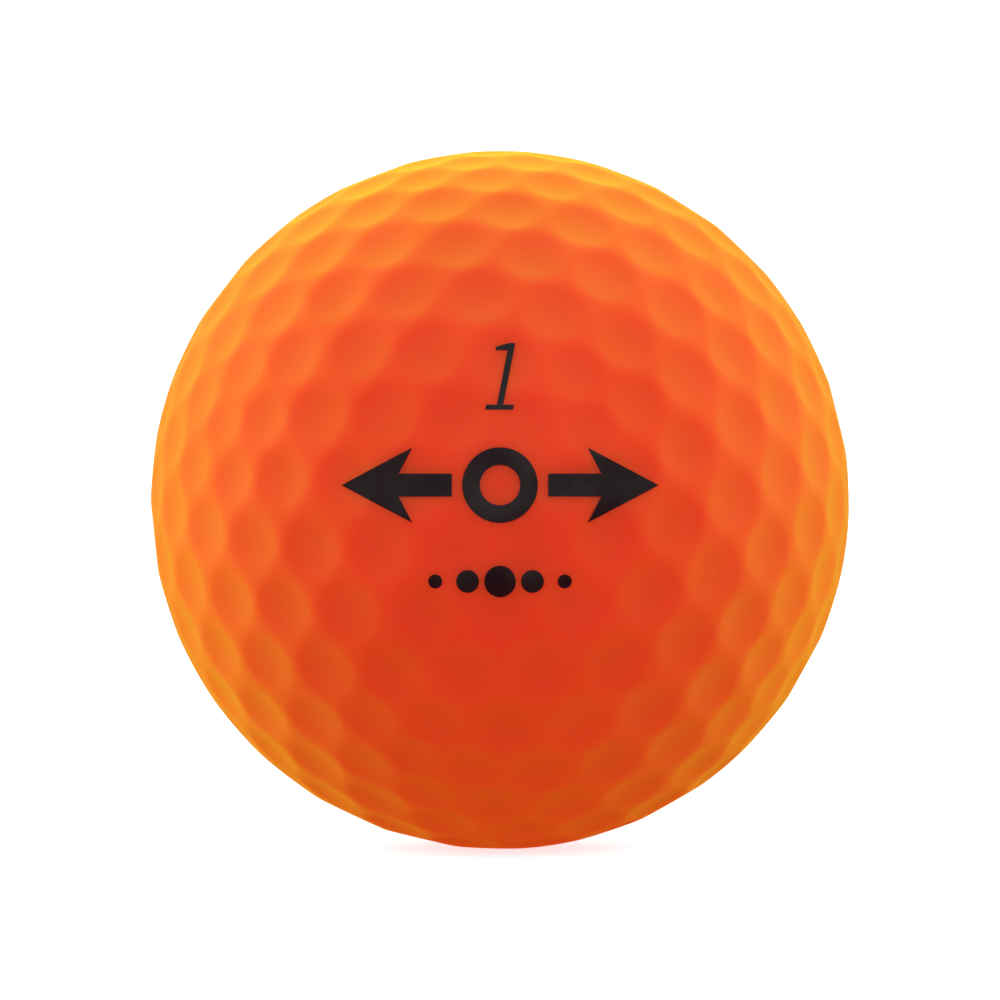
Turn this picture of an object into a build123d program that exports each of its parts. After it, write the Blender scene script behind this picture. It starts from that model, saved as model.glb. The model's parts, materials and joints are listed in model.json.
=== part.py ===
from build123d import *
from build123d.topology import SkipClean
from itertools import combinations
from math import acos, asin, cos, degrees, radians, sin, sqrt, tan
import os

# Golf ball: a solid core, a mantle shell, a dimpled cover and the ink marks on it.
# Millimetres, origin at the ball's centre, +Z up, printed side towards -Y.

# Ball and layers
ball_diameter = 42.7
core_diameter = 37.6
mantle_diameter = 39.9

# Dimples: one on every point of an icosahedral net with six steps to an edge
net_steps = 6
bowl_radius = 13.0  # every dimple is a cap of this radius
dimple_diameters = {  # by the point's place in its triangle, in steps from the three sides
    (0, 0, 6): 3.2,
    (0, 1, 5): 3.4,
    (1, 1, 4): 3.8,
    (0, 2, 4): 3.85,
    (0, 3, 3): 3.9,
    (1, 2, 3): 3.9,
    (2, 2, 2): 3.85,
}
corner_pull = {(0, 1, 5): 0.10, (0, 2, 4): 0.09, (1, 1, 4): 0.08}  # steps towards the corner
net_turn = (17.3, -63.1, 179.6)  # degrees about X, Y and Z

# Ink marks, laid out as seen from -Y: x to the right, y up
ink_thickness = 0.03
numeral_foot = (-0.05, 5.16)  # middle of the foot's lower edge
numeral_foot_size = (1.6, 0.28)
numeral_height = 3.85
numeral_stroke = 0.36
numeral_lean = 11.0  # degrees from upright
numeral_flag = (0.7, 0.42)  # reach and drop of the flag at the top
arrow_line = 0.85  # height of the alignment mark's middle line
arrow_tip = 9.1  # from the middle of the mark to the point of an arrow
arrow_head = (3.3, 4.3)  # length and height
arrow_bar = 1.3
arrow_notch = 0.8
ring_diameters = (4.3, 2.3)
ring_gap = 0.6
dot_line = -4.65
dot_pitch = 1.85
dot_diameters = (0.8, 1.3, 1.8, 1.3, 0.8)

ball_radius = ball_diameter / 2
net_edge = degrees(acos(1 / sqrt(5)))  # angle between neighbouring corners of the net
corner_angle = degrees(asin(2 / sqrt(3) * sin(radians(net_edge / 2))))  # corner to middle
cutter_margin = 0.03  # a dimple's cutter runs this far past its rim
cutter_clear = 0.3  # and this far above the ball


def net_corners():
    """The twelve corners of the icosahedron, as directions."""
    golden = (1 + sqrt(5)) / 2
    corners = []
    for a in (1, -1):
        for b in (golden, -golden):
            corners += [Vector(a, b, 0), Vector(0, a, b), Vector(b, 0, a)]
    turn = Rot(*net_turn)
    return [(turn * Pos(*corner)).position.normalized() for corner in corners]


def net_triangles(corners):
    """Every three corners that are neighbours of each other."""

    def neighbours(pair):
        return pair[0].get_angle(pair[1]) < net_edge + 1

    return [t for t in combinations(corners, 3) if all(map(neighbours, combinations(t, 2)))]


def net_points(corners):
    """The net's points in one triangle: each one's direction and its place."""
    for i in range(net_steps + 1):
        for j in range(net_steps + 1 - i):
            steps = (i, j, net_steps - i - j)
            place = tuple(sorted(steps))
            pull = corner_pull.get(place, 0)
            sharers = sum(0 < step < max(steps) for step in steps)
            point = Vector(0, 0, 0)
            for step, corner in zip(steps, corners):
                if step == max(steps):
                    step += pull
                elif step > 0:
                    step -= pull / sharers
                point += corner * sin(radians(step * net_edge / net_steps))
            yield point.normalized(), place


def dimple_cutter(diameter, growth):
    """Cutter for one dimple at the top of a ball, its wall moved outwards by growth."""
    rim = diameter / 2
    bowl_middle = sqrt(ball_radius**2 - rim**2) + sqrt(bowl_radius**2 - rim**2)
    bowl = bowl_radius - growth
    edge = rim + cutter_margin
    heights = [bowl_middle - sqrt(bowl**2 - x**2) for x in (0, edge / 2, edge)]
    top = ball_radius + growth + cutter_clear
    arc = ThreePointArc((0, 0, heights[0]), (edge / 2, 0, heights[1]), (edge, 0, heights[2]))
    sides = Polyline((edge, 0, heights[2]), (edge, 0, top), (0, 0, top), (0, 0, heights[0]))
    return revolve(make_face(arc + sides), Axis.Z)


def triangle_skin(growth):
    """Dimpled skin over one triangle of the net, its middle towards -X, a corner above it."""
    off, across = radians(corner_angle), 120
    corners = []
    for k in range(3):
        around = radians(across * k)
        corners.append(Vector(-cos(off), sin(off) * sin(around), sin(off) * cos(around)))
    wedge = Sphere(ball_radius + growth)
    for k in range(3):
        side = Plane((0, 0, 0), z_dir=corners[k - 2].cross(corners[k]))
        keep = Keep.TOP if side.z_dir.X < 0 else Keep.BOTTOM
        wedge = split(wedge, bisect_by=side, keep=keep)
    cutters = {place: dimple_cutter(d, growth) for place, d in dimple_diameters.items()}
    bores = [Plane((0, 0, 0), z_dir=p) * cutters[place] for p, place in net_points(corners)]
    wedge = wedge - bores
    return [face for face in wedge.faces() if face.geom_type != GeomType.PLANE]


def dimpled_ball(growth=0.0):
    """The whole dimpled ball, its skin moved outwards by growth."""
    patch = triangle_skin(growth)
    skin = []
    for corners in net_triangles(net_corners()):
        middle = (corners[0] + corners[1] + corners[2]).normalized()
        upright = (corners[0] - middle * corners[0].dot(middle)).normalized()
        place = Plane((0, 0, 0), x_dir=-middle, z_dir=upright).location
        skin += [place * face for face in patch]
    return Solid(Shell(skin))


def numeral_sketch():
    """Slender leaning figure one on a flat foot."""
    foot_width, foot_height = numeral_foot_size
    reach, drop = numeral_flag
    half, edge = foot_width / 2, numeral_stroke / 2
    outline = [
        (-half, 0),
        (half, 0),
        (half, foot_height),
        (edge, foot_height),
        (edge, numeral_height),
        (-edge, numeral_height),
        (-edge - reach, numeral_height - drop / 2),
        (-edge - reach, numeral_height - drop),
        (-edge, numeral_height - drop),
        (-edge, foot_height),
        (-half, foot_height),
    ]
    lean = tan(radians(numeral_lean))
    return Pos(*numeral_foot) * Polygon(*[(x + lean * y, y) for x, y in outline], align=None)


def alignment_sketch():
    """Ring with an arrow pointing away from it on each side."""
    length, height = arrow_head
    neck = arrow_tip - length
    start = ring_diameters[0] / 2 + ring_gap
    lower = [
        (start, -arrow_bar / 2),
        (neck, -arrow_bar / 2),
        (neck - arrow_notch, -height / 2),
    ]
    upper = [(x, -y) for x, y in reversed(lower)]
    arrow = Polygon(*lower, (arrow_tip, 0), *upper, align=None)
    ring = Circle(ring_diameters[0] / 2) - Circle(ring_diameters[1] / 2)
    return Pos(0, arrow_line) * Sketch([ring, arrow, Rot(Z=180) * arrow])


def dot_sketch():
    """Row of dots that shrink towards its ends."""
    start = -dot_pitch * (len(dot_diameters) - 1) / 2
    places = [(start + k * dot_pitch, dot_line) for k in range(len(dot_diameters))]
    return Sketch([Pos(*p) * Circle(d / 2) for p, d in zip(places, dot_diameters)])


def ink_mark(sketch, ball, inked_ball):
    """Film of ink over the dimpled surface, in the sketch's outline."""
    prism = extrude(Plane.XZ * sketch, ball_diameter)
    return (inked_ball & prism) - ball


def build_parts():
    """Every piece of the ball, by node name."""
    ball = dimpled_ball()
    inked_ball = dimpled_ball(ink_thickness)
    mantle_ball = Sphere(mantle_diameter / 2)
    core = Sphere(core_diameter / 2)
    return {
        "core": core,
        "mantle": mantle_ball - core,
        "cover": ball - mantle_ball.solid(),
        "numeral_print": ink_mark(numeral_sketch(), ball, inked_ball),
        "alignment_print": ink_mark(alignment_sketch(), ball, inked_ball),
        "dot_print": ink_mark(dot_sketch(), ball, inked_ball),
    }


os.makedirs("parts", exist_ok=True)
with SkipClean():  # rejoining split faces fails on a skin with this many rims
    parts = build_parts()
for node, part in parts.items():
    export_step(part, f"parts/{node}.step")
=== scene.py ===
import json
import math
from itertools import combinations

import bmesh
import bpy
import numpy as np
from mathutils import Matrix, Vector
from mathutils.geometry import delaunay_2d_cdt

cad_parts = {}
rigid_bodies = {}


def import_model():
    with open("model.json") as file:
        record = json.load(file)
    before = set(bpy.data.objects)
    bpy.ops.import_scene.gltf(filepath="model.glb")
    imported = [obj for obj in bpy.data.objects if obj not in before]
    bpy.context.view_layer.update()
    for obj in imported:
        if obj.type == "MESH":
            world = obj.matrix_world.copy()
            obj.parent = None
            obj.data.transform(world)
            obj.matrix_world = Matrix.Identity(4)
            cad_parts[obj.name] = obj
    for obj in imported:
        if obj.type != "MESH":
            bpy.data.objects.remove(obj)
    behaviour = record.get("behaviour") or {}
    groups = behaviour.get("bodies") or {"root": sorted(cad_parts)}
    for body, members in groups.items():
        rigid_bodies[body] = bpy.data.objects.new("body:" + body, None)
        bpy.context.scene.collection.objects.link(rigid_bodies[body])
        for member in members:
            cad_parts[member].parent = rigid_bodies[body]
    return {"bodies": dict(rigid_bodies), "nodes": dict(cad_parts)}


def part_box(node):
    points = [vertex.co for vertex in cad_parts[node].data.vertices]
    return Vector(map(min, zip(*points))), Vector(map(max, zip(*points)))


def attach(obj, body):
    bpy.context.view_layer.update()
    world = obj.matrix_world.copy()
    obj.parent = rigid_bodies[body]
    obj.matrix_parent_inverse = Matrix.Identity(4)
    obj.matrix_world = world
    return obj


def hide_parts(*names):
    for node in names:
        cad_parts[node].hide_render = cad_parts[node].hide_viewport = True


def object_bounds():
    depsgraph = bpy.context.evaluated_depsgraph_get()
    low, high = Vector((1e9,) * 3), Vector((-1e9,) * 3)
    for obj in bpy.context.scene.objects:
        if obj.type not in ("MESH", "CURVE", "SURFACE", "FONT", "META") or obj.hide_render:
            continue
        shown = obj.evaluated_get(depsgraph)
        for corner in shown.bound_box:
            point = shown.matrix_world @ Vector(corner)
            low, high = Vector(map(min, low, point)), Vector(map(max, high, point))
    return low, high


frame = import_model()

CAD_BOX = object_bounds()
BODY = next(iter(frame["bodies"]))
MM = 0.001

# Ball, from the frame
BALL_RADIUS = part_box("cover")[1].x
MANTLE_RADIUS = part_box("mantle")[1].x

# Dimples: one on every point of an icosahedral net with six steps to an edge
NET_STEPS = 6
BOWL_RADIUS = 13.0 * MM
DIMPLE_DIAMETERS = {  # by the point's place in its triangle, in steps from the three sides
    (0, 0, 6): 3.2 * MM,
    (0, 1, 5): 3.4 * MM,
    (1, 1, 4): 3.8 * MM,
    (0, 2, 4): 3.85 * MM,
    (0, 3, 3): 3.9 * MM,
    (1, 2, 3): 3.9 * MM,
    (2, 2, 2): 3.85 * MM,
}
CORNER_PULL = {(0, 1, 5): 0.10, (0, 2, 4): 0.09, (1, 1, 4): 0.08}
NET_TURN = (17.3, -63.1, 179.6)  # degrees about X, Y and Z
NET_EDGE = math.acos(1 / math.sqrt(5))
RIM_SOFTNESS = 0.07 * MM  # depth over which a dimple's wall rounds into the land
SLICE = 4096  # directions worked out at a time

# The cover's mesh
GRID_STEPS = 96  # triangles along an edge of the net
INNER_SUBDIVISIONS = 5

# Ink marks, as seen from -Y: x to the right, z up
INK_THICKNESS = 0.03 * MM
INK_ROOT = 0.01 * MM  # the film's underside reaches this far into the cover
INK_STEP = 0.22 * MM  # between points inside a mark
INK_CLEAR = 0.45 * INK_STEP  # least distance from those points to the edge
FILM_EDGE = math.radians(40)  # the film's top and sides meet sharper than this
NUMERAL_FOOT = (-0.05 * MM, 5.16 * MM)
NUMERAL_FOOT_SIZE = (1.6 * MM, 0.28 * MM)
NUMERAL_HEIGHT = 3.85 * MM
NUMERAL_STROKE = 0.36 * MM
NUMERAL_LEAN = 11.0
NUMERAL_FLAG = (0.7 * MM, 0.42 * MM)
ARROW_LINE = 0.85 * MM
ARROW_TIP = 9.1 * MM
ARROW_HEAD = (3.3 * MM, 4.3 * MM)
ARROW_BAR = 1.3 * MM
ARROW_NOTCH = 0.8 * MM
RING_DIAMETERS = (4.3 * MM, 2.3 * MM)
RING_GAP = 0.6 * MM
DOT_LINE = -4.65 * MM
DOT_PITCH = 1.85 * MM
DOT_DIAMETERS = (0.8 * MM, 1.3 * MM, 1.8 * MM, 1.3 * MM, 0.8 * MM)


# ---------------------------------------------------------------- dimple net

def net_corners():
    """The twelve corners of the icosahedron, as directions."""
    golden = (1 + math.sqrt(5)) / 2
    turn_x, turn_y, turn_z = (math.radians(angle) for angle in NET_TURN)
    turn = Matrix.Rotation(turn_x, 3, "X") @ Matrix.Rotation(turn_y, 3, "Y")
    turn = turn @ Matrix.Rotation(turn_z, 3, "Z")
    corners = []
    for a in (1, -1):
        for b in (golden, -golden):
            corners += [Vector((a, b, 0)), Vector((0, a, b)), Vector((b, 0, a))]
    return [(turn @ corner).normalized() for corner in corners]


def net_triangles(corners):
    """Every three corners that are neighbours of each other."""
    def neighbours(pair):
        return pair[0].angle(pair[1]) < NET_EDGE * 1.01

    return [t for t in combinations(corners, 3) if all(map(neighbours, combinations(t, 2)))]


def net_point(corners, steps):
    """Direction of one point of a triangle, drawn a little towards its nearest corner."""
    pull = CORNER_PULL.get(tuple(sorted(steps)), 0)
    sharers = sum(0 < step < max(steps) for step in steps)
    point = Vector()
    for step, corner in zip(steps, corners):
        if step == max(steps):
            step += pull
        elif step > 0:
            step -= pull / sharers
        point += corner * math.sin(step * NET_EDGE / NET_STEPS)
    return point.normalized()


def dimple_net():
    """Axes and rim radii of all the dimples."""
    found = {}
    for corners in net_triangles(net_corners()):
        for i in range(NET_STEPS + 1):
            for j in range(NET_STEPS + 1 - i):
                steps = (i, j, NET_STEPS - i - j)
                axis = net_point(corners, steps)
                key = tuple(round(c, 4) + 0.0 for c in axis)
                found.setdefault(key, (axis, DIMPLE_DIAMETERS[tuple(sorted(steps))] / 2))
    axes = np.array([axis for axis, rim in found.values()])
    rims = np.array([rim for axis, rim in found.values()])
    return axes, rims


AXES, RIMS = dimple_net()
BOWL_MIDDLES = np.sqrt(BALL_RADIUS**2 - RIMS**2) + np.sqrt(BOWL_RADIUS**2 - RIMS**2)


def surface_radius(directions):
    """Distance of the dimpled surface from the centre, along each direction."""
    radii = np.empty(len(directions))
    for start in range(0, len(directions), SLICE):
        part = directions[start:start + SLICE]
        cosine = np.clip(part @ AXES.T, -1, 1)
        sine_sq = 1 - cosine**2
        reach = BOWL_RADIUS**2 - BOWL_MIDDLES**2 * sine_sq
        near = (reach > 0) & (cosine > 0)
        wall = BOWL_MIDDLES * cosine - np.sqrt(np.where(near, reach, 0))
        depth = np.where(near, BALL_RADIUS - wall, -1)
        soft = (depth + RIM_SOFTNESS) ** 2 / (4 * RIM_SOFTNESS)
        depth = np.where(depth > RIM_SOFTNESS, depth, np.where(depth < -RIM_SOFTNESS, 0, soft))
        radii[start:start + SLICE] = BALL_RADIUS - depth.sum(axis=1)
    return radii


# ---------------------------------------------------------------- meshes

def new_piece(name, points, faces, material, slot, *nodes):
    """A smooth mesh that rides on the body and stands for the named CAD nodes."""
    mesh = bpy.data.meshes.new(name)
    mesh.from_pydata([tuple(p) for p in points], [], [tuple(f) for f in faces])
    mesh.validate()
    mesh.shade_smooth()
    piece = bpy.data.objects.new(name, mesh)
    bpy.context.scene.collection.objects.link(piece)
    mesh.materials.append(material)
    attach(piece, BODY)
    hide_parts(*nodes)
    return piece


def ball_grid():
    """Even triangles over a unit sphere: directions and faces that look outwards."""
    numbers, directions, faces = {}, [], []

    def number(corners, steps):
        point = Vector()
        for step, corner in zip(steps, corners):
            point += corner * math.sin(step * NET_EDGE / GRID_STEPS)
        point.normalize()
        key = tuple(round(c, 5) + 0.0 for c in point)
        if key not in numbers:
            numbers[key] = len(directions)
            directions.append(point)
        return numbers[key]

    for a, b, c in net_triangles(net_corners()):
        corners = (a, b, c) if a.cross(b).dot(c) > 0 else (a, c, b)
        rows = [
            [number(corners, (i, j, GRID_STEPS - i - j)) for j in range(GRID_STEPS + 1 - i)]
            for i in range(GRID_STEPS + 1)
        ]
        for row, above in zip(rows, rows[1:]):
            faces += [(above[j], row[j + 1], row[j]) for j in range(len(above))]
            faces += [(above[j], above[j + 1], row[j + 1]) for j in range(len(above) - 1)]
    return np.array(directions), faces


def cover_piece(material):
    """The cover as a closed shell."""
    directions, faces = ball_grid()
    points = directions * surface_radius(directions)[:, None]
    inner = bmesh.new()
    bmesh.ops.create_icosphere(inner, subdivisions=INNER_SUBDIVISIONS, radius=MANTLE_RADIUS)
    inner.verts.index_update()
    base = len(points)
    faces += [[base + v.index for v in reversed(face.verts)] for face in inner.faces]
    points = np.concatenate([points, [v.co[:] for v in inner.verts]])
    inner.free()
    return new_piece("cover_shell", points, faces, material, "cover_plastic", "cover")


# ---------------------------------------------------------------- ink marks

def numeral_outline():
    """Slender leaning figure one on a flat foot."""
    foot_width, foot_height = NUMERAL_FOOT_SIZE
    reach, drop = NUMERAL_FLAG
    half, edge = foot_width / 2, NUMERAL_STROKE / 2
    outline = [
        (-half, 0),
        (half, 0),
        (half, foot_height),
        (edge, foot_height),
        (edge, NUMERAL_HEIGHT),
        (-edge, NUMERAL_HEIGHT),
        (-edge - reach, NUMERAL_HEIGHT - drop / 2),
        (-edge - reach, NUMERAL_HEIGHT - drop),
        (-edge, NUMERAL_HEIGHT - drop),
        (-edge, foot_height),
        (-half, foot_height),
    ]
    lean = math.tan(math.radians(NUMERAL_LEAN))
    foot_x, foot_z = NUMERAL_FOOT
    return [(foot_x + x + lean * z, foot_z + z) for x, z in outline]


def arrow_outline(side):
    """Arrow pointing away from the alignment mark's middle, to the right with side 1."""
    length, height = ARROW_HEAD
    neck = ARROW_TIP - length
    start = RING_DIAMETERS[0] / 2 + RING_GAP
    lower = [
        (start, -ARROW_BAR / 2),
        (neck, -ARROW_BAR / 2),
        (neck - ARROW_NOTCH, -height / 2),
    ]
    upper = [(x, -z) for x, z in reversed(lower)]
    outline = lower + [(ARROW_TIP, 0)] + upper
    return [(side * x, ARROW_LINE + side * z) for x, z in outline]


def circle_outline(x, z, diameter):
    """Points round a circle."""
    count = max(24, round(math.pi * diameter / INK_STEP) * 2)
    angles = [2 * math.pi * k / count for k in range(count)]
    return [(x + diameter / 2 * math.cos(a), z + diameter / 2 * math.sin(a)) for a in angles]


def divided(outline):
    """The outline with points added, none further apart than half the ink's step."""
    points = []
    for (x0, z0), (x1, z1) in zip(outline, outline[1:] + outline[:1]):
        count = max(1, math.ceil(math.hypot(x1 - x0, z1 - z0) / INK_STEP * 2))
        points += [(x0 + (x1 - x0) * k / count, z0 + (z1 - z0) * k / count) for k in range(count)]
    return points


def inside(point, outline):
    """Whether a point is inside a closed outline."""
    x, z = point
    crossings = 0
    for (x0, z0), (x1, z1) in zip(outline, outline[1:] + outline[:1]):
        if (z0 > z) != (z1 > z) and x < x0 + (z - z0) / (z1 - z0) * (x1 - x0):
            crossings += 1
    return crossings % 2 == 1


def edge_distance(point, loops):
    """Distance from a point to the nearest of the loops' points."""
    return min(math.hypot(point[0] - x, point[1] - z) for loop in loops for x, z in loop)


def filled(outline, hole=None):
    """Triangles over an outline: its points, its faces and its edge loops' point numbers."""
    loops = [divided(outline)] + ([divided(hole[::-1])] if hole else [])
    points, edges, loop_indices = [], [], []
    for loop in loops:
        first = len(points)
        points += loop
        indices = list(range(first, len(points)))
        edges += list(zip(indices, indices[1:] + indices[:1]))
        loop_indices.append(indices)

    def covered(point):
        return inside(point, loops[0]) and not any(inside(point, loop) for loop in loops[1:])

    xs, zs = zip(*loops[0])
    columns = int((max(xs) - min(xs)) / INK_STEP) + 1
    rows = int((max(zs) - min(zs)) / INK_STEP) + 1
    for i in range(columns):
        for j in range(rows):
            point = (min(xs) + (i + 0.5 * (j % 2)) * INK_STEP, min(zs) + j * INK_STEP)
            if covered(point) and edge_distance(point, loops) > INK_CLEAR:
                points.append(point)
    vectors = [Vector(point) for point in points]
    result = delaunay_2d_cdt(vectors, edges, [], 1, 1e-9)  # 1: no triangles outside the edges
    assert len(result[0]) == len(points)
    faces = []
    for face in result[2]:
        middle = [sum(points[v][axis] for v in face) / 3 for axis in (0, 1)]
        if not any(inside(middle, loop) for loop in loops[1:]):
            faces.append(list(face))
    return points, faces, loop_indices


def on_ball(points, offset):
    """Points of a film at an offset from the dimpled surface, seen at x, z from -Y."""
    flat = np.array(points)
    radii = np.full(len(flat), BALL_RADIUS)
    for _ in range(4):
        depth = np.sqrt(radii**2 - (flat**2).sum(axis=1))
        placed = np.stack([flat[:, 0], -depth, flat[:, 1]], axis=1)
        directions = placed / np.linalg.norm(placed, axis=1, keepdims=True)
        radii = surface_radius(directions) + offset
    return directions * radii[:, None]


def ink_piece(name, outlines, material, node):
    """One mark: a film of ink over each outline, each an outline and its hole or None."""
    all_points, all_faces = [], []
    for outline, hole in outlines:
        points, faces, loops = filled(outline, hole)
        count, base = len(points), sum(len(p) for p in all_points)
        all_points += [on_ball(points, INK_THICKNESS), on_ball(points, -INK_ROOT)]
        for face in faces:
            all_faces.append([base + v for v in face])
            all_faces.append([base + count + v for v in reversed(face)])
        for loop in loops:
            for a, b in zip(loop, loop[1:] + loop[:1]):
                all_faces.append([base + b, base + a, base + count + a, base + count + b])
    piece = new_piece(name, np.concatenate(all_points), all_faces, material, "black_ink", node)
    piece.data.set_sharp_from_angle(angle=FILM_EDGE)


# ---------------------------------------------------------------- materials

COVER_COLORS = ((0.80, 0.038, 0.026, 1), (0.85, 0.046, 0.030, 1))
INK_COLORS = ((0.006, 0.005, 0.006, 1), (0.010, 0.009, 0.009, 1))
CORE_COLORS = ((0.36, 0.045, 0.040, 1), (0.46, 0.065, 0.055, 1))
MANTLE_COLORS = ((0.74, 0.71, 0.64, 1), (0.82, 0.80, 0.73, 1))
FLOOR_COLORS = ((0.80, 0.80, 0.80, 1), (0.83, 0.83, 0.83, 1))
CLOUD_PLACES = (0.35, 0.65)  # the noise values at which a cloud reaches its two colours


class Nodes:
    """Shader nodes of one new material, made and linked in short calls."""

    def __init__(self, name):
        self.material = bpy.data.materials.new(name)
        self.material.use_nodes = True
        self.tree = self.material.node_tree
        self.shader = self.tree.nodes["Principled BSDF"]
        self.place = self.tree.nodes.new("ShaderNodeTexCoord").outputs["Object"]

    def link(self, source, target):
        self.tree.links.new(source, target)

    def set(self, **values):
        """Uniform values on the shader's own sockets."""
        for name, value in values.items():
            socket = name.replace("_", " ").title().replace("Ior", "IOR")
            self.shader.inputs[socket].default_value = value

    def noise(self, cell, detail=2.0):
        """Noise with features of about the given size, in metres."""
        node = self.tree.nodes.new("ShaderNodeTexNoise")
        node.inputs["Scale"].default_value = 1 / cell
        node.inputs["Detail"].default_value = detail
        self.link(self.place, node.inputs["Vector"])
        return node.outputs["Fac"]

    def cloud(self, cell, colors):
        """A colour that drifts between two over the given distance."""
        ramp = self.tree.nodes.new("ShaderNodeValToRGB")
        for element, place, color in zip(ramp.color_ramp.elements, CLOUD_PLACES, colors):
            element.position = place
            element.color = color
        self.link(self.noise(cell), ramp.inputs["Fac"])
        return ramp.outputs["Color"]

    def between(self, value, low, high):
        """The value, 0 to 1, mapped to a range."""
        node = self.tree.nodes.new("ShaderNodeMapRange")
        node.inputs["To Min"].default_value = low
        node.inputs["To Max"].default_value = high
        self.link(value, node.inputs["Value"])
        return node.outputs["Result"]

    def bump(self, height, distance):
        """Surface relief of the given depth in metres."""
        node = self.tree.nodes.new("ShaderNodeBump")
        node.inputs["Distance"].default_value = distance
        node.inputs["Strength"].default_value = 1.0
        self.link(height, node.inputs["Height"])
        return node.outputs["Normal"]


def cover_material():
    """Bright orange matte plastic with a fine, silky sheen."""
    nodes = Nodes("cover_matte_orange")
    nodes.link(nodes.cloud(6 * MM, COVER_COLORS), nodes.shader.inputs["Base Color"])
    nodes.link(nodes.between(nodes.noise(0.5 * MM), 0.48, 0.60), nodes.shader.inputs["Roughness"])
    grain = nodes.bump(nodes.noise(0.09 * MM, 3.0), 0.0035 * MM)
    nodes.link(grain, nodes.shader.inputs["Normal"])
    nodes.set(sheen_weight=1.0, sheen_roughness=0.6, sheen_tint=(0.62, 0.73, 0.01, 1))
    nodes.set(subsurface_weight=1.0, subsurface_radius=(1.0, 0.5, 0.25))
    nodes.set(subsurface_scale=3.0 * MM, specular_ior_level=0.01)
    return nodes.material


def ink_material():
    """Thin black printing ink."""
    nodes = Nodes("black_ink")
    nodes.link(nodes.cloud(1.2 * MM, INK_COLORS), nodes.shader.inputs["Base Color"])
    nodes.link(nodes.between(nodes.noise(0.4 * MM), 0.42, 0.56), nodes.shader.inputs["Roughness"])
    grain = nodes.bump(nodes.noise(0.07 * MM, 3.0), 0.003 * MM)
    nodes.link(grain, nodes.shader.inputs["Normal"])
    nodes.set(specular_ior_level=0.15)
    return nodes.material


def core_material():
    """Moulded rubber with mixed-in pigment."""
    nodes = Nodes("core_rubber")
    nodes.link(nodes.cloud(4 * MM, CORE_COLORS), nodes.shader.inputs["Base Color"])
    nodes.link(nodes.between(nodes.noise(0.8 * MM), 0.62, 0.78), nodes.shader.inputs["Roughness"])
    grain = nodes.bump(nodes.noise(0.3 * MM, 4.0), 0.02 * MM)
    nodes.link(grain, nodes.shader.inputs["Normal"])
    return nodes.material


def mantle_material():
    """Plain plastic with fine grinding marks."""
    nodes = Nodes("mantle_plastic")
    nodes.link(nodes.cloud(5 * MM, MANTLE_COLORS), nodes.shader.inputs["Base Color"])
    nodes.link(nodes.between(nodes.noise(0.6 * MM), 0.45, 0.62), nodes.shader.inputs["Roughness"])
    grain = nodes.bump(nodes.noise(0.15 * MM, 3.0), 0.01 * MM)
    nodes.link(grain, nodes.shader.inputs["Normal"])
    return nodes.material


def floor_material():
    """Pale studio paper."""
    nodes = Nodes("studio_paper")
    nodes.link(nodes.cloud(0.2, FLOOR_COLORS), nodes.shader.inputs["Base Color"])
    nodes.set(roughness=0.9, specular_ior_level=0.1)
    nodes.set(emission_color=(1, 1, 1, 1), emission_strength=0.72)
    return nodes.material


# ---------------------------------------------------------------- stage

FLAT_RADII = (0.0, 0.25, 0.6, 1.0)
WALL_BEND = 0.6  # radius of the curve between the floor and the wall
BEND_STEPS = 12
WALL_RISE = 1.5
SHEET_SIDES = 96
CAMERA_DISTANCE = 14.0 * BALL_RADIUS
CAMERA_LENS = 175.5
CAMERA_SENSOR = 36.0
WORLD_STRENGTH = 0.71
WORLD_PLACES = (0.38, 0.64)  # 0 straight down, 1 straight up
WORLD_COLORS = ((1.0, 0.08, 0.18, 1), (1.0, 1.0, 1.0, 1))
LIGHTS = {  # place, size across and along, and power in watts
    "top_light": ((-0.08, -0.12, 0.55), (0.5, 0.4), 0.35),
    "left_light": ((-0.5, 0.16, 0.16), (0.3, 0.5), 2.1),
    "right_light": ((0.5, 0.14, 0.26), (0.3, 0.5), 1.6),
    "front_light": ((0.05, -0.65, 0.25), (0.5, 0.5), 1.6),
}


def studio_sheet(material):
    """A round pale floor that curves up into a wall all the way round."""
    floor_z = CAD_BOX[0].z
    profile = [(radius, 0.0) for radius in FLAT_RADII]
    for k in range(1, BEND_STEPS + 1):
        bend = math.radians(90 * k / BEND_STEPS)
        across = FLAT_RADII[-1] + WALL_BEND * math.sin(bend)
        profile.append((across, WALL_BEND * (1 - math.cos(bend))))
    profile.append((FLAT_RADII[-1] + WALL_BEND, WALL_RISE))
    count = SHEET_SIDES
    points = [(0, 0, floor_z)]
    for radius, height in profile[1:]:
        for k in range(count):
            around = 2 * math.pi * k / count
            points.append((radius * math.cos(around), radius * math.sin(around), floor_z + height))
    faces = [(0, 1 + k, 1 + (k + 1) % count) for k in range(count)]
    for ring in range(len(profile) - 2):
        here = 1 + ring * count
        for k in range(count):
            after = (k + 1) % count
            faces.append((here + k, here + count + k, here + count + after, here + after))
    mesh = bpy.data.meshes.new("studio_floor")
    mesh.from_pydata(points, [], faces)
    mesh.shade_smooth()
    sheet = bpy.data.objects.new("studio_floor", mesh)
    bpy.context.scene.collection.objects.link(sheet)
    mesh.materials.append(material)
    sheet.visible_diffuse = False  # the ball's underside takes its light from the world
    sheet.visible_glossy = False
    sheet.visible_shadow = False


def area_light(name, place, size, power):
    """A soft rectangular light that faces the ball."""
    data = bpy.data.lights.new(name, "AREA")
    data.shape = "RECTANGLE"
    data.size, data.size_y = size
    data.energy = power
    lamp = bpy.data.objects.new(name, data)
    lamp.location = place
    lamp.rotation_mode = "QUATERNION"
    lamp.rotation_quaternion = (-Vector(place)).to_track_quat("-Z", "Y")
    bpy.context.scene.collection.objects.link(lamp)


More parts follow.
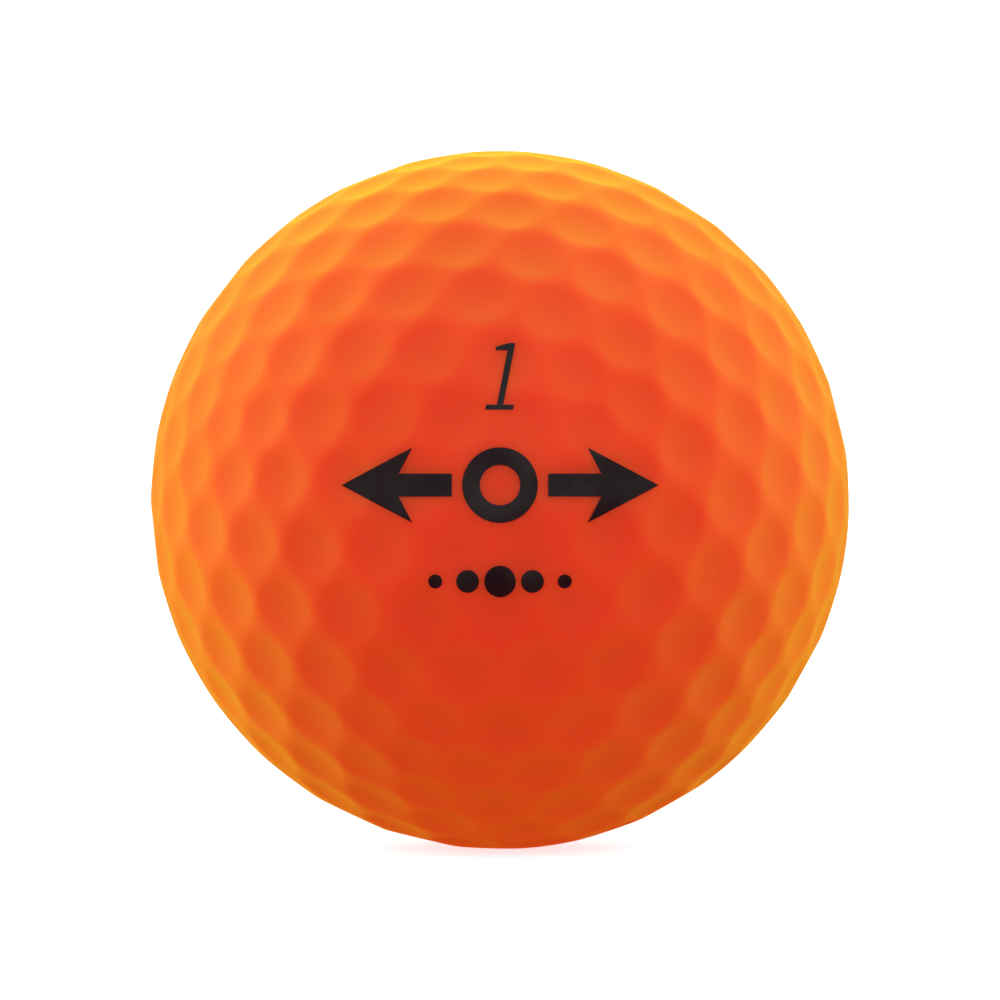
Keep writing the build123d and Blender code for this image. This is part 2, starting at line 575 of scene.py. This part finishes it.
def studio_lights():
    """Soft lights above, to both sides and behind the camera."""
    for name, (place, size, power) in LIGHTS.items():
        area_light(name, place, size, power)


def studio_world():
    """Even pale surroundings, warmer below where the paper takes on the ball's colour."""
    world = bpy.data.worlds.new("studio_world")
    bpy.context.scene.world = world
    world.use_nodes = True
    tree = world.node_tree
    place = tree.nodes.new("ShaderNodeTexCoord")
    split = tree.nodes.new("ShaderNodeSeparateXYZ")
    ramp = tree.nodes.new("ShaderNodeValToRGB")
    spread = tree.nodes.new("ShaderNodeMapRange")
    spread.inputs["From Min"].default_value = -1.0
    for element, where, color in zip(ramp.color_ramp.elements, WORLD_PLACES, WORLD_COLORS):
        element.position = where
        element.color = color
    tree.links.new(place.outputs["Generated"], split.inputs["Vector"])
    tree.links.new(split.outputs["Z"], spread.inputs["Value"])
    tree.links.new(spread.outputs["Result"], ramp.inputs["Fac"])
    background = tree.nodes["Background"]
    tree.links.new(ramp.outputs["Color"], background.inputs["Color"])
    background.inputs["Strength"].default_value = WORLD_STRENGTH


def camera():
    """The camera, level with the ball's middle and square to its printed side."""
    data = bpy.data.cameras.new("camera")
    data.sensor_width = CAMERA_SENSOR
    data.lens = CAMERA_LENS
    data.clip_start = 0.01
    data.dof.use_dof = False
    viewer = bpy.data.objects.new("camera", data)
    viewer.location = (0, -CAMERA_DISTANCE, 0)
    viewer.rotation_euler = (math.radians(90), 0, 0)
    bpy.context.scene.collection.objects.link(viewer)
    bpy.context.scene.camera = viewer


# ---------------------------------------------------------------- the scene

def paint(node, material):
    """Gives a CAD piece that stays its material."""
    frame["nodes"][node].data.materials.clear()
    frame["nodes"][node].data.materials.append(material)


def dot_outlines():
    """The row of dots, each with no hole."""
    start = -DOT_PITCH * (len(DOT_DIAMETERS) - 1) / 2
    return [
        (circle_outline(start + k * DOT_PITCH, DOT_LINE, diameter), None)
        for k, diameter in enumerate(DOT_DIAMETERS)
    ]


def alignment_outlines():
    """The ring with its hole, and the two arrows."""
    ring, hole = (circle_outline(0, ARROW_LINE, diameter) for diameter in RING_DIAMETERS)
    return [(ring, hole), (arrow_outline(1), None), (arrow_outline(-1), None)]


def build():
    cover_piece(cover_material())
    ink = ink_material()
    ink_piece("numeral_ink", [(numeral_outline(), None)], ink, "numeral_print")
    ink_piece("alignment_ink", alignment_outlines(), ink, "alignment_print")
    ink_piece("dot_ink", dot_outlines(), ink, "dot_print")
    paint("core", core_material())
    paint("mantle", mantle_material())
    studio_sheet(floor_material())
    studio_lights()
    studio_world()
    camera()
    bpy.context.scene.view_settings.view_transform = "Standard"


build()
